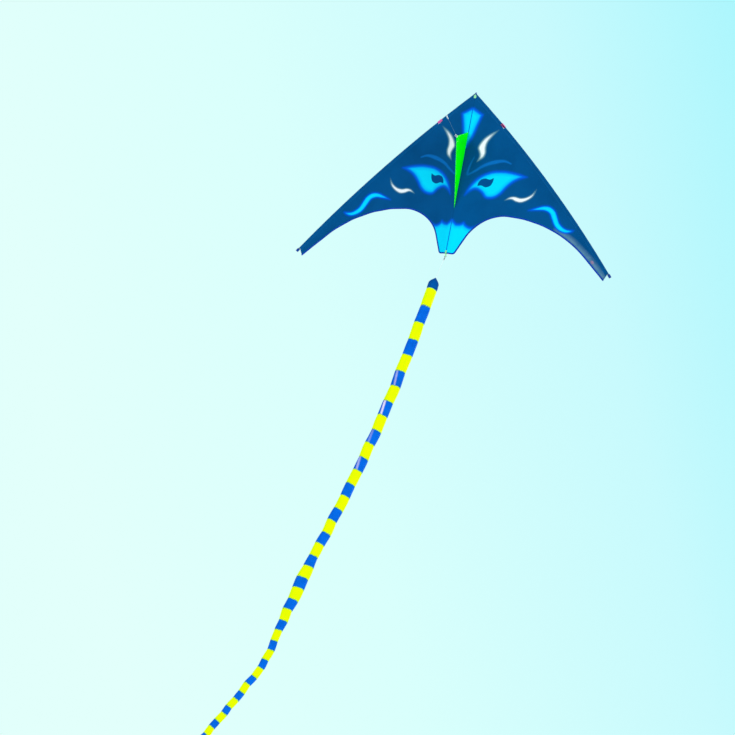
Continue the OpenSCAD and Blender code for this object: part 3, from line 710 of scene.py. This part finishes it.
def makeBinding(name, side):
    line = resample(trailing(0.0), tape["steps"])
    step = np.gradient(line, axis=0)
    step /= np.linalg.norm(step, axis=1)[:, None]
    inward = np.stack([step[:, 1], -step[:, 0]], 1)
    inward *= np.sign(inward[len(line) // 2] @ np.array([0, 1.0]))
    run = np.concatenate([[0], np.cumsum(np.linalg.norm(np.diff(line, axis=0), axis=1))])

    def place(s, t):
        at = s * (len(line) - 1)
        keys = np.arange(len(line))
        u, z, nu, nz = (np.interp(at, keys, v) for v in (line[:, 0], line[:, 1], inward[:, 0], inward[:, 1]))
        d, y = foldedTape(t)
        u, z = np.maximum(u + nu * d, 0), z + nz * d
        lay = kite["midY"] + billow(u, z) + y
        return wingPoint(side, u, lay, z), (np.interp(at, keys, run) * mm, t * 0.014)

    obj = gridSheet(name + "Binding", tape["steps"], 18, place, tape["wall"])
    dress(obj, finishes["binding"])
    blendAtSeam(obj)
    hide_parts(name + "_binding")


def sleeveProfile(t):
    r, tab = sleeve["radius"], sleeve["tab"]
    flat = [(-tab, 0.5), (-tab + 4, 0.52), (-8, 0.7), (-6, 1.2), (-4.4, 2.0)]
    turn = [(r * math.cos(a), r * math.sin(a)) for a in np.radians(np.linspace(140, -140, 17))]
    line = [(x, y) for x, y in flat] + turn + [(x, -y) for x, y in flat[::-1]]
    line = resample(line, 60)
    at = t * 59
    keys = np.arange(60)
    return np.interp(at, keys, line[:, 0]), np.interp(at, keys, line[:, 1])


def makeSleeve(name, side, part, a, b):
    count = max(40, int(abs(a - b) * shape["radius"] / 6))

    def place(s, t):
        angle = a + (b - a) * s
        out, y = sleeveProfile(t)
        ripple = 1 + 0.03 * np.sin(angle * shape["radius"] / 9) * np.sin(t * math.pi)
        radius = shape["spar"] + out * np.where(out > -4, ripple, 1)
        u = shape["centre"][0] + radius * np.cos(angle)
        z = shape["centre"][1] + radius * np.sin(angle)
        cloth = np.where(out < -4, billow(u, z), 0) * np.clip((-out - 4) / 4, 0, 1)
        flat = (angle - a) * shape["radius"] * -mm, t * 0.033
        return wingPoint(side, u, kite["midY"] + y + cloth, z), flat

    obj = gridSheet(name + "Sleeve" + part, count, 34, place, sleeve["wall"])
    dress(obj, finishes["hem"])
    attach(obj, name + "_wing")
    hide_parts(name + "_sleeve_" + part.lower())


def makePocket(name, side):
    a = shape["tipA"] + (kite["tipBare"] + 64) / shape["radius"]
    hem = trailing(8.0)[0]
    foot = hem + kite["tipRun"] / 3 * np.array([-math.sin(shape["bigA"]), math.cos(shape["bigA"])])
    corners = [shape["tipIn"] + [-3, 1], polar(shape["centre"], shape["cloth"], a) - [2, 2], foot, hem]

    def place(s, t):
        p = [c[None, :] for c in corners]
        top = p[0] * (1 - s[:, None]) + p[1] * s[:, None]
        low = p[3] * (1 - s[:, None]) + p[2] * s[:, None]
        at = low * (1 - t[:, None]) + top * t[:, None]
        edge = np.minimum(np.minimum(s, 1 - s) * 60, np.minimum(t, 1 - t) * 35)
        rise = 0.75 + 0.5 * np.clip(edge / 4, 0, 1) + 0.15 * np.sin(s * 30) * np.sin(t * 9)
        return (wingPoint(side, at[:, 0], kite["midY"] + billow(at[:, 0], at[:, 1]) + rise, at[:, 1]),
                (s * 0.06, edge * mm))

    obj = gridSheet(name + "TipPocket", 40, 26, place, 0.45)
    dress(obj, finishes["patch"])
    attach(obj, name + "_wing")
    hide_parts(name + "_tip_pocket")


notchA = kite["notchHalf"] / shape["radius"]
hoodA = shape["noseA"] - kite["rodTop"] / shape["radius"]
for name, side in (("left", -1), ("right", 1)):
    makeBinding(name, side)
    makeSleeve(name, side, "Upper", hoodA, shape["clipA"] + notchA)
    makeSleeve(name, side, "Lower", shape["clipA"] - notchA, shape["endA"])
    makePocket(name, side)
print("edges made")


centre = {
    "seamHalf": 2.0, "seamBright": ((-279, -71), (-800, -622)), "seamTop": -22, "seamLow": -791,
    "sleeveHalf": 6.3, "sleeveBend": 3.2, "sleeveTop": -16.0, "sleeveLow": -774.5,
    "patchHalf": 6.2, "patch": (-5, -21, -27),
    "hoodRun": 17.5, "hoodRadius": 3.4, "hoodTop": -2.5, "hoodLow": -26.0,
}


def makeCentre():
    c = centre

    def seam(s, t):
        x = (s * 2 - 1) * c["seamHalf"]
        z = c["seamLow"] + (c["seamTop"] - c["seamLow"]) * t
        y = -0.12 - 0.16 * np.cos((s * 2 - 1) * math.pi / 2) + 0.03 * np.sin(z / 1.1)
        shares = [np.clip(np.minimum(z - low, high - z) / 6, 0, 1) for low, high in c["seamBright"]]
        return flown(x, y, z), (z * mm, x * mm), {"bright": np.max(shares, 0)}

    n = Nodes("seamTape")
    along, across, rip, where, normal = clothBase(n)
    base = n.mix(n.noise(where, 14, 4, 0.6).outputs[0], navy, deepNavy)
    bright = n.value("bright")
    base = n.mix(bright, base, tone(0, 104, 214))
    sewn = stitchMask(n, along, across, (0.0,), half=0.0003)
    base = n.mix(n.math("MULTIPLY", sewn, 0.4), base, deepNavy)
    seamCloth = n.finishCloth(base, 0.62, normal, navy)
    parts = [gridSheet("centreSeam", 8, 500, seam, 0.2)]

    # the nose is closed by a hood: a rolled edge over the two leading edges, and cloth between them
    ends = [polar(shape["centre"], shape["spar"], shape["noseA"] - run / shape["radius"])
            for run in np.linspace(c["hoodRun"], 4.5, 5)]
    roll = [(-u, z) for u, z in ends] + [(0, ends[-1][1] + 2.0)] + [(u, z) for u, z in ends[::-1]]
    line = resample(smoothLine(roll), 24)
    rolled = curveTube("hoodRoll", flown(line[:, 0], kite["midY"], line[:, 1]), c["hoodRadius"] * mm, 5)
    only(rolled)
    bpy.ops.object.convert(target="MESH")
    for old in list(rolled.data.uv_layers):
        rolled.data.uv_layers.remove(old)
    setUv(rolled, np.array([[v.co.x, v.co.z] for v in rolled.data.vertices]))
    parts.append(rolled)

    def hood(s, t):
        top, low = c["hoodTop"], c["hoodLow"]
        z = low + (top - low) * t
        half = np.interp(z, (low, -14, top), (9, 13.5, 3))
        x = (s * 2 - 1) * half
        y = -0.3 - 0.5 * np.clip(t * 3, 0, 1) + 0.1 * np.sin(x / 2.2)
        return flown(x, y, z), (x * mm, z * mm)

    parts.append(gridSheet("hoodCloth", 20, 20, hood, 0.4))
    obj = joined("centreSeam", parts)
    dress(obj, seamCloth)
    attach(obj, "centre")
    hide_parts("centre_strip")

    def patch(s, t):
        # a soft tab with a rounded top and foot, thicker in its middle
        top, shoulder, foot = c["patch"]
        x = (s * 2 - 1) * c["patchHalf"]
        roundOff = 1 - np.sqrt(np.maximum(1 - (s * 2 - 1) ** 2, 0))
        low, high = foot + (shoulder - foot) * roundOff, top - 4.5 * roundOff
        z = low + (high - low) * t
        edge = np.minimum(np.minimum(s, 1 - s) * 12.4, np.minimum(t, 1 - t) * 20)
        y = -1.1 - 0.9 * np.clip(edge / 4, 0, 1) ** 0.5
        return flown(x, y, z), (z * mm, edge * mm)

    obj = gridSheet("nosePatch", 24, 32, patch, 0.5)
    dress(obj, finishes["greenCap"])
    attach(obj, "centre")
    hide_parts("nose_patch")

    def sleevePlace(s, t):
        # a channel of cloth sewn over the spine, flat at both sides
        half = c["sleeveHalf"]
        flat = [(-half, 0.95), (-half + 1.2, 1.0), (-3.9, 2.4)]
        bends, r = np.radians(np.linspace(205, -25, 15)), c["sleeveBend"]
        turn = [(r * math.cos(a), kite["spineY"] + r * math.sin(a)) for a in bends]
        line = resample(flat + turn + [(-x, y) for x, y in flat[::-1]], 50)
        at, keys = s * 49, np.arange(50)
        x, y = np.interp(at, keys, line[:, 0]), np.interp(at, keys, line[:, 1])
        z = c["sleeveLow"] + (c["sleeveTop"] - c["sleeveLow"]) * t
        y = y + 0.12 * np.sin(z / 4.3 + np.sin(z / 31) * 2) * np.clip((y - 2) / 3, 0, 1)
        return flown(x, y, z), (z * mm, s * 0.026)

    obj = gridSheet("spineSleeve", 36, 240, sleevePlace, 0.4)
    dress(obj, clothMaterial("spineSleeveCloth", navy, deepNavy, paleThread, (0.0012, 0.0248)))
    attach(obj, "centre")
    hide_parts("spine_sleeve")


makeCentre()
print("centre made")

keel = {
    "top": -195, "foot": -571, "corner": (133.9, -258.5), "start": 0.6, "endOut": 1.5, "split": 0.8,
    "eyelet": 3.0, "belly": 2.6, "patch": 22.5,
}


def makeKeel():
    k = keel
    leaf, shadow = tone(4, 250, 8), tone(2, 236, 12)

    def place(s, t):
        reach, cornerZ = k["corner"]
        z = np.where(t < k["split"], k["foot"] + (cornerZ - k["foot"]) * t / k["split"],
                     cornerZ + (k["top"] - cornerZ) * (t - k["split"]) / (1 - k["split"]))
        end = np.where(z < cornerZ, np.interp(z, (k["foot"], cornerZ), (k["endOut"], reach)),
                       np.interp(z, (cornerZ, k["top"]), (reach, k["endOut"])))
        out = k["start"] + (end - k["start"]) * s
        toFoot = (end - out) * 0.92
        hem = np.clip(1 - toFoot / 5, 0, 1)
        span = np.clip((z - k["foot"]) / (k["top"] - k["foot"]), 0, 1)
        ripple = 0.5 * np.sin((z - cornerZ) / (out + 30) * 5)
        x = (k["belly"] * np.sin(math.pi * span) + ripple) * np.sin(math.pi * s)
        return flown(x, -out, z), (z * mm, toFoot * mm), {"hem": hem}

    obj = gridSheet("keelPanel", 44, 150, place, 0.45, closed=True)
    n = Nodes("keelCloth")
    along, across, rip, where, normal = clothBase(n)
    cloud = n.noise(where, 12, 4, 0.6)
    base = n.blotched(cloud, leaf, shadow)
    base = n.mix(n.math("MULTIPLY", rip, 0.15), base, shadow)
    doubled = n.math("LESS_THAN", across, 0.0055)
    base = n.mix(n.math("MULTIPLY", doubled, 0.35), base, tone(0, 180, 20))
    sewn = stitchMask(n, along, across, (0.0045,))
    base = n.mix(sewn, base, tone(210, 255, 200))
    normal = n.bump(n.math("ADD", doubled, sewn), 0.5, 0.0003, normal)
    dress(obj, n.finishCloth(base, 0.6, normal, leaf, sheen=0.04))

    # the hole for the eyelet
    clearSelection()
    at = flown(np.array(0.0), np.array(-kite["towOut"]), np.array(-kite["towZ"]))
    bpy.ops.mesh.primitive_cylinder_add(
        vertices=48, radius=k["eyelet"] * mm, depth=0.03, location=at, rotation=(0, math.pi / 2, 0)
    )
    cutter = bpy.context.object
    hole = obj.modifiers.new("hole", "BOOLEAN")
    hole.operation, hole.object, hole.solver = "DIFFERENCE", cutter, "EXACT"
    finishModifiers(obj)
    bpy.data.objects.remove(cutter)
    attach(obj, "keel")
    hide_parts("keel_panel")

    # doubled cloth at the tow corner, one patch on each side
    made = []
    for side in (-1, 1):
        def patch(s, t):
            turn = np.radians(100 + 175 * s)
            r = k["eyelet"] + 0.4 + k["patch"] * t
            corner = np.array([kite["towOut"], -kite["towZ"]])
            out, z = corner[0] + r * np.cos(turn), corner[1] + r * np.sin(turn)
            reach, cornerZ = k["corner"]
            least = k["endOut"]
            topLine = least + (reach - least) * (k["top"] - z) / (k["top"] - cornerZ)
            footLine = least + (reach - least) * (z - k["foot"]) / (cornerZ - k["foot"])
            out = np.minimum(out, np.minimum(topLine, footLine) - 0.4)
            edge = np.clip((1 - t) * k["patch"], 0, 5)
            span = np.clip((z - k["foot"]) / (k["top"] - k["foot"]), 0, 1)
            across = (out - k["start"]) / (np.minimum(topLine, footLine) - k["start"])
            camber = k["belly"] * np.sin(math.pi * span) * np.sin(math.pi * across)
            x = camber + side * (0.42 + 0.1 * np.clip(edge / 2, 0, 1))
            return flown(x, -out, z), (turn * 0.02, edge * mm)
        made.append(gridSheet("keelPatch" + str(side), 48, 16, patch, 0.3))
    obj = joined("keelPatches", made)
    dress(obj, clothMaterial("keelPatchCloth", leaf, shadow, tone(210, 255, 200), (0.002,), 0.001))
    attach(obj, "keel")
    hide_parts("keel_patch")


makeKeel()
print("keel made")

tail = {
    "y": 368.543, "headZ": -567.995, "d": 50, "endD": 33, "headPoint": 34, "headStraight": 42,
    "bandFirst": 107, "bandRatio": 0.976, "bands": 42, "gap": 1.4, "bow": 32, "bowLen": 1780,
    "hook": 135, "hookLen": 760, "turn": math.radians(30), "hem": 8, "around": 40, "overlap": 3, "wall": 0.3,
    # the strength of the painted glare streak on some of the blue bands
    "paintedGlare": {5: 0.45, 7: 1.0, 9: 0.25, 11: 0.5},
    # distances along the tail, each with the share or the offset there
    "pressAt": (0, 90, 300, 3000), "press": (0, 0.1, 0.24, 0.27),
    "fillAt": (0, 200, 900, 1650, 1740, 1840, 1930, 2000, 2090, 2180, 2450, 3000),
    "fill": (0, -0.1, -0.04, 0, -0.05, 0.3, 0.3, 0.14, 0, -0.2, -0.22, -0.18),
    "driftAt": (0, 900, 1300, 1900, 2150, 2366, 2480, 2750, 3000), "drift": (0, 3, 6, 4, -1, 16, 8, 0, 0),
}
tail["headLen"] = tail["headPoint"] + tail["headStraight"]


def bandAt(i):
    r = tail["bandRatio"]
    return tail["headLen"] + tail["gap"] + tail["bandFirst"] * (1 - r ** i) / (1 - r)


tailLen = bandAt(tail["bands"])
bandSeams = np.array([bandAt(i) for i in range(tail["bands"] + 1)])


def lean(s):
    upper = tail["bow"] * np.sin(math.pi * np.minimum(s, tail["bowLen"]) / tail["bowLen"])
    return upper - tail["hook"] * (np.maximum(0, s - tailLen + tail["hookLen"]) / tail["hookLen"]) ** 1.5


def tailRadius(s):
    return (tail["d"] + (tail["endD"] - tail["d"]) * s / tailLen) / 2


def slackShape(s, angle):
    # how far the cloth stands in or out of a true tube, as a share of its radius
    near = np.min(np.abs(s[:, None] - bandSeams[None, :]), 1)
    puff = 0.05 * np.clip(near / 14, 0, 1) ** 0.7 - 0.03
    # the wind presses it flat, and it fills and falls in along its length
    full = np.interp(s, tail["fillAt"], tail["fill"])
    flat = np.interp(s, tail["pressAt"], tail["press"]) * (np.cos(2 * angle + 0.4 * np.sin(s / 260)) - 0.62)
    creases = 0.035 * (np.sin(3 * angle + s / 37) * np.sin(s / 53 + 1) + 0.6 * np.sin(5 * angle - s / 23))
    return puff + flat + creases + full


def sway(s):
    # each band lies a little aside of the smooth line, with one sharper turn low down
    count = np.arange(len(bandSeams))
    aside = 2.6 * np.sin(count * 2.3) * np.clip(count / 4, 0, 1)
    return np.interp(s, bandSeams, aside) + np.interp(s, tail["driftAt"], tail["drift"])


def tailPoint(s, angle, radius):
    slope = (lean(s + 4) + sway(s + 4) - lean(s - 4) - sway(s - 4)) / 8
    tilt = np.arctan(slope)
    across, depth = radius * np.cos(angle), radius * np.sin(angle)
    x = lean(s) + sway(s) + across * np.cos(tilt)
    z = -s + across * np.sin(tilt)
    c, sn = math.cos(tail["turn"]), math.sin(tail["turn"])
    return np.stack([x * c - depth * sn, x * sn + depth * c + tail["y"], z + tail["headZ"]], -1) * mm


def tubePart(name, top, low, rows, lift, paintedGlare=0.0):
    def place(s, t):
        angle, at = s * math.tau, top + (low - top) * t
        radius = tailRadius(at) * (1 + slackShape(at, angle)) + lift
        edge = np.minimum(at - top, low - at)
        # painted glare: a pale streak down one side of the band, where the sun would glint on the glossy
        # cloth
        streak = paintedGlare * np.clip(1.5 - np.abs(angle - np.radians(212 + 26 * t)) / math.radians(12), 0, 1)
        return tailPoint(at, angle, radius), (angle * 0.02, edge * mm), {"paintedGlare": streak}
    return gridSheet(name, tail["around"], rows, place, tail["wall"], closed=True)


def bandMaterial(name, colour, shade, seam):
    n = Nodes(name)
    along, across, rip, where, normal = clothBase(n)
    cloud = n.noise(where, 22, 4, 0.6)
    base = n.blotched(cloud, colour, shade)
    base = n.mix(n.math("MULTIPLY", rip, 0.15), base, shade)
    # painted glare in pale pinkish white, the same kind of painted highlight as the sheen on the sail
    streak = n.value("paintedGlare")
    base = n.mix(streak, base, tone(226, 212, 240))
    share = n.math("DIVIDE", across, 0.006)
    near = n.ramp(share, [(0.0, (1, 1, 1, 1)), (0.6, (0.9, 0.9, 0.9, 1)), (0.9, (0, 0, 0, 1))])
    base = n.mix(n.math("MULTIPLY", near.outputs[0], 0.85), base, seam)
    sewn = stitchMask(n, along, across, (0.0018,))
    base = n.mix(sewn, base, tone(235, 240, 235))
    return n.finishCloth(base, 0.58, n.bump(sewn, 0.4, 0.0003, normal), colour)


def makeTail():
    k = tail
    yellow = bandMaterial("yellowBand", tone(234, 253, 0), tone(224, 249, 0), tone(112, 186, 20))
    blue = bandMaterial("blueBand", tone(4, 104, 222), tone(2, 92, 204), tone(0, 92, 110))
    for label, material, lift, first in (("yellow", yellow, 0.35, 0), ("blue", blue, 0.0, 1)):
        parts, total = [], 0
        for i in range(first, k["bands"], 2):
            top, low = bandAt(i), bandAt(i + 1)
            over = k["overlap"] if label == "yellow" and i > 0 else 0
            rows, paintedGlare = max(8, round((low - top) / 7)), k["paintedGlare"].get(i, 0.0)
            parts.append(tubePart("band", top - over, low + over, rows, lift, paintedGlare))
            total += low - top + 2 * over
        obj = joined("tail" + label.title() + "Bands", parts)
        dress(obj, material)
        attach(obj, "tail")
        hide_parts("tail_" + label + "_bands")

    headThread = tone(30, 110, 190)
    headCloth = clothMaterial("tailHeadCloth", tone(0, 86, 166), tone(0, 64, 134), headThread, (0.002,))

    def headPlace(s, t):
        angle = s * math.tau
        point, half = k["headPoint"], k["d"] / 2
        keys = [-0.4, 0.6, point * 0.86, point + 2, point + 8]
        at = np.interp(t, (0, 0.03, 0.45, 0.52, 0.6, 1.0), keys + [k["headLen"] + 4])
        r = np.interp(at, keys + [200], (1.0, 2.2, half * 0.86, half * 0.98, half, half - 0.6))
        gathers = 0.05 * np.sin(9 * angle) * np.clip(1 - at / (point + 10), 0, 1) * np.clip(at / 6, 0, 1)
        blendIn = np.clip((at - point) / 25, 0, 1)
        r = r * (1 + gathers + blendIn * slackShape(at, angle))
        return tailPoint(at, angle, r), (angle * 0.02, (k["headLen"] + 4 - at) * mm)

    obj = gridSheet("tailHead", 72, 40, headPlace, k["wall"], closed=True)
    dress(obj, headCloth)
    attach(obj, "tail")
    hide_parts("tail_head")

    obj = tubePart("tailEndHem", tailLen - 2, tailLen + k["hem"], 8, 0.3)
    dress(obj, headCloth)
    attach(obj, "tail")
    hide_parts("tail_end_hem")


makeTail()
print("tail made")

kept = {
    "carbon": ["spine_rod", "left_spar", "right_spar", "spreader_rod"],
    "greenCap": ["tail_cap"],
    "blueCap": ["nose_cap", "left_spar_cap", "right_spar_cap"],
    "pink": ["left_tee", "spreader_arm", "spreader_clip"],
    "white": ["left_tee_pin", "tow_eyelet", "line_swivel_barrel", "line_swivel_eye"],
    "line": ["tow_ring", "ring_knot", "leader_knot", "tail_line_knot"],
    "steel": ["tail_ring", "tail_swivel_barrel", "tail_swivel_eye"],
}
for finish, names in kept.items():
    for nodeName in names:
        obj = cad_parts[nodeName]
        if not obj.material_slots:
            obj.data.materials.append(finishes[finish])
        for held in obj.material_slots:
            held.material = finishes[finish]
print("fittings finished")

studio = {
    "floorZ": -17.0, "floorSize": 900, "ambient": 0.52, "ambientTint": (0.96, 0.99, 1.0, 1),
    "sky": {0.15: (226, 255, 251), 0.46: (217, 255, 252), 0.78: (200, 250, 253), 1.0: (172, 246, 253)},
    "skyTilt": 0.25, "skyReach": 1.25,
    "suns": [((-0.45, -0.85, 0.0), 1.2, 20), ((0.95, -0.25, -0.15), 1.7, 30), ((0.3, 0.6, 0.8), 1.1, 25)],
}


def makeStudio():
    clearSelection()
    bpy.ops.mesh.primitive_plane_add(size=studio["floorSize"], location=(0, 0, studio["floorZ"]))
    floor = bpy.context.object
    floor.name = "floor"
    floor.visible_shadow = False
    n = Nodes("paleFloor")
    where = n.here()
    pale = n.mix(n.noise(where, 0.4, 2).outputs[0], tone(206, 238, 240), tone(212, 242, 244))
    dress(floor, n.finish(pale, 0.9))
    for i, (toward, strength, spread) in enumerate(studio["suns"]):
        data = bpy.data.lights.new("sun" + str(i), "SUN")
        data.energy, data.angle = strength, math.radians(spread)
        lamp = bpy.data.objects.new("sun" + str(i), data)
        bpy.context.scene.collection.objects.link(lamp)
        lamp.rotation_mode = "QUATERNION"
        lamp.rotation_quaternion = Vector(toward).to_track_quat("Z", "Y")
    world = bpy.data.worlds.new("sky")
    bpy.context.scene.world = world
    world.use_nodes = True
    tree = world.node_tree
    back = tree.nodes["Background"]
    out = tree.nodes["World Output"]
    seen = tree.nodes.new("ShaderNodeBackground")
    pick = tree.nodes.new("ShaderNodeMixShader")
    path = tree.nodes.new("ShaderNodeLightPath")
    where = tree.nodes.new("ShaderNodeTexCoord")
    side = tree.nodes.new("ShaderNodeVectorMath")
    side.operation = "DOT_PRODUCT"
    turn = bpy.context.scene.camera.matrix_world.to_3x3()
    side.inputs[1].default_value = turn.col[0] + turn.col[1] * studio["skyTilt"]
    share = tree.nodes.new("ShaderNodeMapRange")
    reach = 18 / camera["lens"] * studio["skyReach"]
    share.inputs[1].default_value, share.inputs[2].default_value = -reach, reach
    colours = tree.nodes.new("ShaderNodeValToRGB")
    stops = colours.color_ramp.elements
    while len(stops) < len(studio["sky"]):
        stops.new(0.5)
    for stop, (at, colour) in zip(stops, studio["sky"].items()):
        stop.position, stop.color = at, tone(*colour)
    tree.links.new(where.outputs["Generated"], side.inputs[0])
    tree.links.new(side.outputs["Value"], share.inputs[0])
    tree.links.new(share.outputs[0], colours.inputs[0])
    tree.links.new(colours.outputs[0], seen.inputs[0])
    back.inputs[0].default_value = studio["ambientTint"]
    back.inputs[1].default_value = studio["ambient"]
    tree.links.new(path.outputs["Is Camera Ray"], pick.inputs[0])
    tree.links.new(back.outputs[0], pick.inputs[1])
    tree.links.new(seen.outputs[0], pick.inputs[2])
    tree.links.new(pick.outputs[0], out.inputs[0])
    bpy.context.scene.view_settings.view_transform = "Standard"


makeStudio()
print("studio made")
